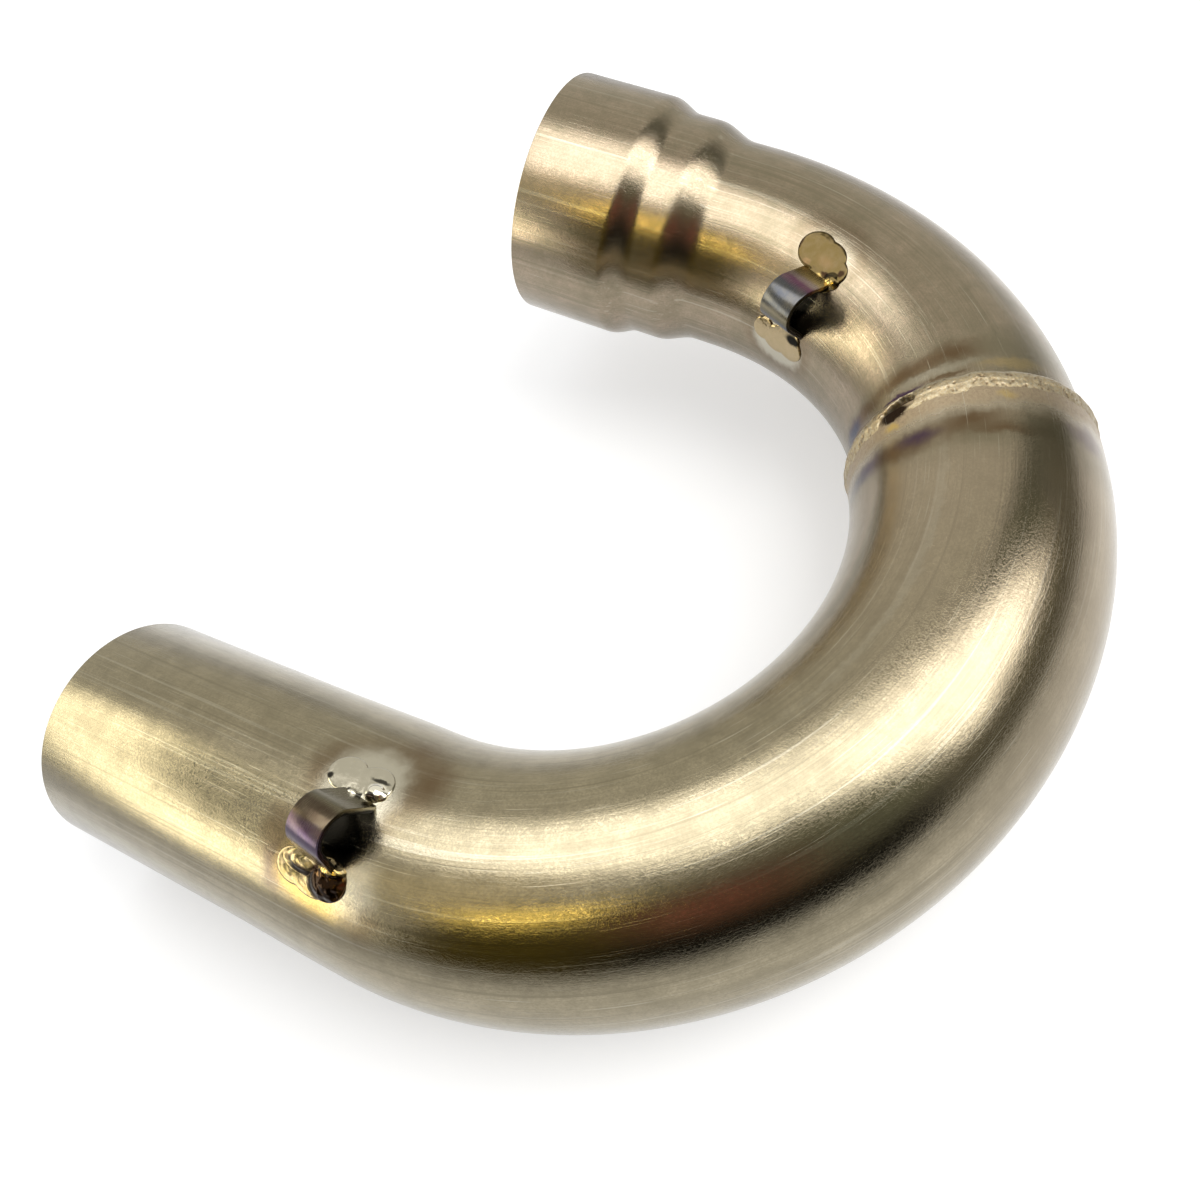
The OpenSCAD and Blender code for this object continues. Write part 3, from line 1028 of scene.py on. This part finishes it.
class PIPE_OT_bead(bpy.types.Operator):
    """Model the girth weld"""

    bl_idname = "pipe.bead"
    bl_label = "Girth weld"

    def execute(self, context):
        """Spins the bead's section round the lip and sinks its pits."""
        scene = context.scene
        tubes, welds = scene.pipe_tubes, scene.pipe_welds
        neck_r = neck_radius(tubes)
        centre = Vector((tubes.main_r + welds.bead_rise - welds.bead_r, welds.bead_shift, 0))
        piece = add(
            bpy.ops.mesh.primitive_circle_add, "girth_weld_bead", vertices=BEAD_SECTION,
            radius=welds.bead_r, location=centre,
        )
        with edit_mode():
            select_where(piece, lambda point: point.y < centre.y)
            bpy.ops.transform.resize(value=(1, welds.bead_stretch, 1), center_override=centre)
            bpy.ops.mesh.select_all(action="SELECT")
            bpy.ops.mesh.bisect(
                plane_co=(neck_r - welds.base_depth, 0, 0), plane_no=(1, 0, 0),
                clear_inner=True, use_fill=False,
            )
            bpy.ops.mesh.select_all(action="SELECT")
            bpy.ops.mesh.spin(steps=BEAD_STEPS, angle=2 * math.pi, center=(0, 0, 0), axis=(0, 1, 0))
            clean_up()
        close_base()
        self.sink(piece, tubes, welds, neck_r)
        straight = points_of(piece)
        along = straight[:, 1] + main_length(tubes)
        put(piece, socket_line(tubes).place)
        store(piece, COORDS, np.stack([along, straight[:, 0], straight[:, 2]], axis=1))
        smooth(piece, 60)
        hand_over(piece, "girth_weld", bead_material(scene.pipe_finish, shared_groups()))
        return {"FINISHED"}

    def sink(self, piece, tubes, welds, neck_r):
        """Wavers the bead's edge, and sinks its pits and the long hollow."""
        points = points_of(piece)
        x, y, z = points.T
        radius = np.hypot(x, z)
        phi = np.arctan2(x, z) + tubes.twist
        waver = relief(np.stack([phi * tubes.main_r, phi * 0, phi * 0], axis=1), 4.5 * MM, 3)
        y_new = y + np.where(y > welds.bead_shift, 0.34, 0.5) * MM * waver
        drop = 0.10 * MM * (1 + relief(points, 2.2 * MM, 3)) + 0.035 * MM * relief(points, 0.5 * MM, 2)
        arc = phi * tubes.main_r
        random = np.random.default_rng(PIT_SEED)
        pit = np.zeros(len(points))
        half_way = math.pi * tubes.main_r
        for _ in range(PIT_COUNT):
            at_y = random.uniform(*PIT_BAND) * MM
            at_arc = random.uniform(-math.pi, math.pi) * tubes.main_r
            size = random.uniform(*PIT_SIZES) * MM
            depth = random.uniform(*PIT_DEPTHS) * size
            around = np.remainder(arc - at_arc + half_way, 2 * half_way) - half_way
            away = np.hypot(y - at_y, around) / size
            bowl = np.clip(1 - away ** 2, 0, 1)
            drop += depth * bowl
            pit = np.maximum(pit, bowl)
        slant = welds.hollow_slant
        du = arc - welds.hollow_phi * tubes.main_r
        dv = y - welds.hollow_at
        along = du * math.cos(slant) + dv * math.sin(slant)
        across = dv * math.cos(slant) - du * math.sin(slant)
        ripple = 1 + 0.18 * relief(points, 1.3 * MM, 2)
        away = np.sqrt((along / welds.hollow_half) ** 2 + (across / welds.hollow_wide) ** 2) * ripple
        bowl = np.clip(1.25 - away, 0, 0.55) / 0.55
        shaded_hollow = bowl * bowl * (3 - 2 * bowl)
        rise = np.maximum(radius - tubes.main_r, 0)
        sharp = rise - rise * rise / (rise + 0.12 * MM)
        drop = np.where(y < 0, np.minimum(drop + sharp, 0.9 * rise + 0.02 * MM), drop)
        drop = drop + welds.hollow_depth * shaded_hollow
        ridge = np.clip(1 - np.abs(y - RIDGE_AT) / RIDGE_HALF, 0, 1) * (1 - shaded_hollow)
        new_radius = np.clip(radius - np.maximum(drop, 0), neck_r - welds.base_depth, None)
        inside = radius < neck_r - welds.base_depth / 2
        new_radius = np.where(inside, radius, new_radius)
        factor = new_radius / radius
        move_points(piece, np.stack([x * factor, np.where(inside, y, y_new), z * factor], axis=1))
        store(piece, "bead_marks", np.stack([pit * (1 - shaded_hollow), shaded_hollow, ridge], axis=1))


def close_base():
    """Bridges the two open rims of the active spun section into a closed ring."""
    with edit_mode():
        bpy.ops.mesh.select_all(action="DESELECT")
        bpy.ops.mesh.select_mode(type="EDGE")
        bpy.ops.mesh.select_non_manifold()
        bpy.ops.mesh.bridge_edge_loops()
        clean_up()
        bpy.ops.mesh.select_mode(type="VERT")


def strip_loop(name, hooks, place, tube_r):
    """A strip bent into a loop: one end's section is extruded, spun round the crown and extruded on."""
    half = hooks.crown_half
    mid = hooks.crown_r - hooks.strip_t / 2
    leg = (hooks.crown_rise + tube_r) / math.sin(half) / 2
    side = Vector((-math.sin(half), 0, math.cos(half)))
    run = Vector((math.cos(half), 0, math.sin(half)))
    foot = side * mid - run * leg
    piece = add(
        bpy.ops.mesh.primitive_plane_add, name, size=1, location=foot,
        rotation=(0, -(math.pi / 2 + half), 0),
    )
    with edit_mode():
        section = (hooks.strip_t, hooks.strip_w, hooks.strip_t)
        bpy.ops.transform.resize(value=section, center_override=foot)
        pull(run * leg)
        bpy.ops.mesh.spin(steps=CROWN_STEPS, angle=-2 * half, center=(0, 0, 0), axis=(0, 1, 0))
        pull(Vector((run.x, 0, -run.z)) * leg)
        clean_up()
        tube_centre = Vector((0, 0, -(tube_r + hooks.crown_rise)))
        foot_at = hooks.crown_r / math.sin(half) + hooks.crown_rise / math.tan(half)
        foot_angle = math.asin(foot_at / tube_r)
        for sign in (-1, 1):
            normal = Vector((sign * math.sin(foot_angle), 0, math.cos(foot_angle)))
            select_where(piece, lambda point: point.x * sign > hooks.crown_r / 2)
            cut = tube_centre + normal * (tube_r - hooks.root_depth)
            bpy.ops.mesh.bisect(plane_co=cut, plane_no=normal, use_fill=True, clear_inner=True)
        clean_up()
    round_edges(piece, hooks.edge_round, 50)
    store(piece, "strip_coords", strip_coords(piece, hooks))
    put(piece, place)
    smooth(piece, 40)
    return piece


def strip_coords(piece, hooks):
    """Distance along the strip from its crown, place across it, and height above its inner face."""
    x, y, z = points_of(piece).T
    half = hooks.crown_half
    turn = np.clip(np.arctan2(x, z), -half, half)
    out = x * np.sin(turn) + z * np.cos(turn)
    rest = x * np.cos(turn) - z * np.sin(turn)
    along = turn * hooks.crown_r + rest
    return np.stack([along, y, out - (hooks.crown_r - hooks.strip_t)], axis=1)


def hook_places(tubes, hooks):
    """Frames of both crown centres, X across the tube, Y along it and Z up, with the tube's radius."""
    neck_r = neck_radius(tubes)
    main, socket = main_line(tubes), socket_line(tubes)
    plain = (
        main.place
        @ Matrix.Translation((0, hooks.plain_at, 0))
        @ Matrix.Rotation(hooks.plain_phi, 4, "Y")
        @ Matrix.Translation((0, 0, tubes.main_r + hooks.crown_rise))
        @ Matrix.Rotation(-hooks.plain_turn, 4, "Z")
    )
    turn = (socket_length(tubes) - hooks.socket_at - tubes.lead_len) / tubes.socket_bend_r
    near_socket = (
        socket.place
        @ Matrix.Translation((-socket.radius, socket.straight, 0))
        @ Matrix.Rotation(turn, 4, "Z")
        @ Matrix.Translation((socket.radius, 0, 0))
        @ Matrix.Rotation(hooks.socket_phi, 4, "Y")
        @ Matrix.Translation((0, 0, neck_r + hooks.crown_rise))
    )
    return {"plain": (plain, tubes.main_r), "socket": (near_socket, neck_r)}


class PIPE_OT_hooks(bpy.types.Operator):
    """Model both strip loops"""

    bl_idname = "pipe.hooks"
    bl_label = "Spring loops"

    def execute(self, context):
        """Bends each loop out of a strip."""
        scene = context.scene
        metal = strip_material(scene.pipe_finish, shared_groups())
        for end, (place, tube_r) in hook_places(scene.pipe_tubes, scene.pipe_hooks).items():
            piece = strip_loop(f"{end}_hook_strip", scene.pipe_hooks, place, tube_r)
            store(piece, "at_socket", np.full(len(piece.data.vertices), float(end == "socket")))
            hand_over(piece, f"{end}_hook", metal)
        return {"FINISHED"}


# Puddles at the hooks' feet, each a few blobs laid on the tube
PUDDLES = {
    "plain_hook_weld_inner": [
        Puddle(70.0, -4.6, 3.9, 3.4, 0.8),
        Puddle(76.0, -4.6, 4.2, 3.5, 0.8),
        Puddle(73.2, -2.8, 4.6, 2.2, 0.8),
        Puddle(77.7, -3.4, 2.3, 1.5, 1.15),
        Puddle(77.3, -2.2, 1.3, 0.7, 1.4, 0.5),
        Puddle(73.6, -1.6, 1.5, 0.8, 1.2, 0.2),
    ],
    "plain_hook_weld_outer": [
        Puddle(68.6, 13.2, 4.1, 3.3, 0.8),
        Puddle(73.0, 13.8, 5.0, 3.4, 0.9),
        Puddle(70.6, 11.8, 4.4, 1.9, 1.1, 0.3),
        Puddle(75.6, 13.0, 3.7, 3.8, 1.35, 1.0),
        Puddle(76.4, 11.0, 2.4, 1.5, 1.6, 1.0),
    ],
    "socket_hook_weld_inner": [
        Puddle(284.0, -34.2, 5.2, 3.0, 0.8),
        Puddle(289.5, -34.2, 5.2, 3.2, 0.8),
        Puddle(295.0, -33.4, 3.8, 2.8, 0.8),
        Puddle(286.0, -31.8, 5.4, 2.0, 0.9),
    ],
    "socket_hook_weld_outer": [
        Puddle(290.8, -13.4, 4.9, 4.0, 0.9),
        Puddle(287.0, -13.9, 5.4, 3.9, 0.9),
        Puddle(283.6, -15.2, 4.4, 3.0, 0.9),
        Puddle(285.2, -18.4, 4.8, 2.0, 0.9),
        Puddle(281.6, -17.0, 2.3, 1.7, 1.3, 0.4),
    ],
}


class PIPE_OT_puddles(bpy.types.Operator):
    """Model the welds at the feet of the strip loops"""

    bl_idname = "pipe.puddles"
    bl_label = "Hook welds"

    def execute(self, context):
        """Fuses each weld's blobs, roughens them and lays them on the tube."""
        scene = context.scene
        tubes, welds = scene.pipe_tubes, scene.pipe_welds
        metal = puddle_material(scene.pipe_finish, shared_groups())
        for node, blobs in PUDDLES.items():
            at_socket = node.startswith("socket")
            line = socket_line(tubes) if at_socket else main_line(tubes)
            radius = neck_radius(tubes) if at_socket else tubes.main_r
            start = main_length(tubes) if at_socket else 0.0
            piece = self.fuse(node, blobs, welds)
            self.shape(piece, blobs, welds, line, radius, start)
            smooth(piece, 60)
            hand_over(piece, node, metal)
        return {"FINISHED"}

    def fuse(self, node, blobs, welds):
        """Joins flat blobs into one skin: X along the tube, Y around it, Z up from its wall."""
        parts = []
        for blob in blobs:
            part = add(
                bpy.ops.mesh.primitive_ico_sphere_add, f"{node}_puddle", subdivisions=4, radius=1
            )
            with edit_mode():
                bpy.ops.transform.resize(value=(blob.along * MM, blob.across * MM, blob.height * MM))
                bpy.ops.transform.translate(value=(blob.s * MM, blob.arc * MM, 0))
            parts.append(part)
        for part in parts:
            part.select_set(True)
        bpy.context.view_layer.objects.active = parts[0]
        bpy.ops.object.join()
        piece = bpy.context.object
        piece.name = piece.data.name = f"{node}_puddle"
        finish_with(piece, "REMESH", mode="VOXEL", voxel_size=welds.voxel)
        finish_with(piece, "SMOOTH", factor=0.5, iterations=8)
        with edit_mode():
            bpy.ops.mesh.bisect(
                plane_co=(0, 0, -welds.base_depth), plane_no=(0, 0, 1), use_fill=True, clear_inner=True
            )
            clean_up()
        return piece

    def shape(self, piece, blobs, welds, line, radius, start):
        """Adds ripples and lumps to the skin and wraps it round the tube."""
        points = points_of(piece)
        x, y, z = points.T
        rise = np.clip(z / (0.4 * MM), 0, 1)
        best = np.full(len(points), np.inf)
        ring = np.zeros(len(points))
        rough = np.zeros(len(points))
        dome = np.zeros(len(points))
        for blob in blobs:
            away = np.hypot((x / MM - blob.s) / blob.along, (y / MM - blob.arc) / blob.across)
            ring = np.where(away < best, away * (blob.along + blob.across) / 2, ring)
            rough = np.where(away < best, blob.rough, rough)
            best = np.minimum(best, away)
            if blob.height > 1:
                dome = np.maximum(dome, np.clip(2.2 - 2 * away, 0, 1))
        flat = welds.puddle_flat
        z = np.where(z > 0, z * dome + flat * np.tanh(1.6 * z / flat) * (1 - dome), z)
        ripple = 0.004 * MM * np.sin(2 * math.pi * ring / 0.95)
        lumps = 0.24 * MM * relief(points, 1.5 * MM, 2)
        uneven = 0.02 * MM * relief(points, 2.4 * MM, 2)
        z = z + rise * (ripple * (1 - rough) + lumps * (0.06 + rough) + uneven)
        phi = y / radius
        reach = radius + z
        local = np.stack([x - start, reach * np.sin(phi), reach * np.cos(phi)], axis=1)
        store(piece, "weld_coords", np.stack([x, y, z], axis=1))
        move_points(piece, bend(line, local))
        with edit_mode():
            clean_up()


class Patch(NamedTuple):
    """A part of the room in reflections: degrees around and up, half sizes, slant, softness and light."""

    turn: float
    lift: float
    half_turn: float
    half_lift: float
    light: tuple
    slant: float = 0.0
    softness: float = 0.5


ROOM_WALL = (0.92, 0.89, 0.79)
# Patches of the room that the pipe reflects, laid over its even wall one after another
ROOM = [
    Patch(95, 61, 42, 6, (0.66, 0.64, 0.54)),
    Patch(60, 42, 17, 27, (0.18, 0.19, 0.145)),
    Patch(-120, 54, 22, 22, (1.3, 1.15, 0.8), 0, 0.6),
    Patch(-36, 48, 48, 30, (0.43, 0.42, 0.35), 0, 0.3),
    Patch(-60, 28, 60, 32, (0.20, 0.17, 0.11), 0, 0.4),
    Patch(-16, 44, 18, 26, (0.26, 0.28, 0.21)),
    Patch(-52, 37, 27, 18, (0.36, 0.14, 0.10), 0, 0.8),
    Patch(-90, 14, 25, 28, (0.13, 0.10, 0.02), 0, 0.35),
    Patch(-38, 9, 50, 20, (0.022, 0.022, 0.018)),
    Patch(34, 9, 44, 17, (0.23, 0.22, 0.17), 0, 0.3),
    Patch(-94, 45, 16, 3.4, (8.6, 6.6, 1.7), 0.58),
    Patch(-156, 38.5, 32, 7, (0.22, 0.23, 0.16), -0.55, 0.5),
    Patch(-140, -2, 34, 9, (0.16, 0.15, 0.09), -0.5, 0.5),
    Patch(-150, 18.5, 36, 14, (5.0, 4.7, 3.7), -0.55, 0.35),
]


class PIPE_OT_stage(bpy.types.Operator):
    """Set up the floor, the lamps, the backdrop and the camera"""

    bl_idname = "pipe.stage"
    bl_label = "Studio"

    def execute(self, context):
        """Adds the studio around the pipe."""
        studio = context.scene.pipe_studio
        self.add_floor(studio)
        self.add_world(context, studio)
        below = Vector((studio.top_at[0], studio.top_at[1], 0))
        top = self.add_lamp(context, "Overhead lamp", studio.top_at, below, TOP_SIZE, studio.top_light)
        top.visible_diffuse = False
        middle = Vector((*CENTRE, 0))
        self.add_lamp(context, "Window", studio.window_at, middle, WINDOW_SIZE, studio.window_light)
        data = bpy.data.cameras.new("Camera")
        data.lens = studio.lens
        data.clip_start = CLIP_START
        camera = bpy.data.objects.new("Camera", data)
        camera.location = studio.eye
        camera.rotation_euler = studio.aim
        context.scene.collection.objects.link(camera)
        context.scene.camera = camera
        context.scene.view_settings.view_transform = "Standard"
        return {"FINISHED"}

    def seen(self, tree):
        """Masks of the rays straight from the camera, and of those that are glossy or pass glass."""
        path = tree.add("ShaderNodeLightPath").outputs
        mirrored = tree.maths("MAXIMUM", path["Is Glossy Ray"], path["Is Transmission Ray"])
        return path["Is Camera Ray"], mirrored

    def add_floor(self, studio):
        """Pale floor that shows white to the camera and keeps the shadow."""
        middle = (*CENTRE, CAD_BOX[0][2])
        floor = add(bpy.ops.mesh.primitive_plane_add, "floor", size=2 * studio.floor_half, location=middle)
        material = bpy.data.materials.new("Pale floor")
        material.use_nodes = True
        tree = NodeTree(material.node_tree)
        shader = material.node_tree.nodes["Principled BSDF"]
        shader.inputs["Base Color"].default_value = (0.68, 0.68, 0.68, 1)
        shader.inputs["Roughness"].default_value = 0.9
        shader.inputs["Specular IOR Level"].default_value = 0.0
        shader.inputs["Emission Color"].default_value = (1, 1, 1, 1)
        straight, mirrored = self.seen(tree)
        where = tree.add("ShaderNodeTexCoord").outputs["Object"]
        near = tree.ramp(tree.vector("DISTANCE", where, middle), *FLOOR_FADE)
        mirrored = tree.times(tree.times(mirrored, near), studio.floor_mirror)
        glow = tree.plus(tree.times(straight, studio.floor_glow), mirrored)
        tree.fill(shader.inputs["Emission Strength"], glow)
        floor.data.materials.append(material)

    def add_world(self, context, studio):
        """White to the camera, a room in reflections, and even light on dull surfaces."""
        world = bpy.data.worlds.new("Studio")
        world.use_nodes = True
        world.cycles.sampling_method = "NONE"
        context.scene.world = world
        tree = NodeTree(world.node_tree)
        where = tree.vector("NORMALIZE", tree.add("ShaderNodeTexCoord").outputs["Generated"])
        split = tree.split(where)
        turn = tree.maths("DEGREES", tree.maths("ARCTAN2", split[1], split[0]))
        lift = tree.maths("DEGREES", tree.maths("ARCSINE", split[2]))
        light = ROOM_WALL
        for patch in ROOM:
            away = tree.maths("WRAP", tree.maths("SUBTRACT", turn, patch.turn), 180, -180)
            middle = tree.plus(patch.lift, tree.times(away, patch.slant))
            rise = tree.maths("SUBTRACT", lift, middle)
            core = 1 - patch.softness
            sideways = tree.ramp(tree.maths("ABSOLUTE", away), patch.half_turn, patch.half_turn * core)
            upwards = tree.ramp(tree.maths("ABSOLUTE", rise), patch.half_lift, patch.half_lift * core)
            mask = tree.times(sideways, upwards)
            light = tree.blend(mask, light, patch.light)
        straight, mirrored = self.seen(tree)
        background = world.node_tree.nodes["Background"]
        tree.fill(background.inputs["Color"], tree.blend(mirrored, (1, 1, 1), light))
        shown = tree.maths("MAXIMUM", mirrored, straight)
        behind = tree.times(tree.maths("MAXIMUM", split[1], 0.0), studio.back_sky)
        even = tree.plus(behind, studio.sky)
        tree.fill(background.inputs["Strength"], tree.ramp(shown, 0.0, 1.0, even, 1.0, kind="LINEAR"))

    def add_lamp(self, context, name, place, target, size, light):
        """An area lamp that faces a point, and that the camera doesn't see."""
        data = bpy.data.lights.new(name, "AREA")
        data.shape = "RECTANGLE"
        data.size, data.size_y = size
        data.energy = light * math.pi * size[0] * size[1]
        data.color = (1.0, 0.985, 0.95)
        lamp = bpy.data.objects.new(name, data)
        lamp.location = place
        lamp.rotation_euler = (Vector(place) - target).to_track_quat("Z", "Y").to_euler()
        lamp.visible_camera = False
        context.scene.collection.objects.link(lamp)
        return lamp


class PIPE_PT_panel(bpy.types.Panel):
    """Lists the steps that build the pipe"""

    bl_label = "Header pipe"
    bl_space_type = "VIEW_3D"
    bl_region_type = "UI"
    bl_category = "Header pipe"

    def draw(self, context):
        """Draws one button for each step."""
        for operator in STEPS:
            self.layout.operator(operator.bl_idname)


GROUPS = {
    "pipe_tubes": TubeSizes,
    "pipe_hooks": HookSizes,
    "pipe_welds": WeldSizes,
    "pipe_finish": Finish,
    "pipe_studio": Studio,
}
STEPS = [PIPE_OT_tubes, PIPE_OT_bead, PIPE_OT_hooks, PIPE_OT_puddles, PIPE_OT_stage]


def register():
    """Registers the classes and hangs the property groups on the scene."""
    for cls in [*GROUPS.values(), *STEPS, PIPE_PT_panel]:
        bpy.utils.register_class(cls)
    for name, group in GROUPS.items():
        setattr(bpy.types.Scene, name, bpy.props.PointerProperty(type=group))


def unregister():
    """Takes the property groups and the classes away again."""
    for name in GROUPS:
        delattr(bpy.types.Scene, name)
    for cls in reversed([*GROUPS.values(), *STEPS, PIPE_PT_panel]):
        bpy.utils.unregister_class(cls)


def main():
    register()
    for step in STEPS:
        area, name = step.bl_idname.split(".")
        getattr(getattr(bpy.ops, area), name)()
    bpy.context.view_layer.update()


if __name__ == "__main__":
    main()
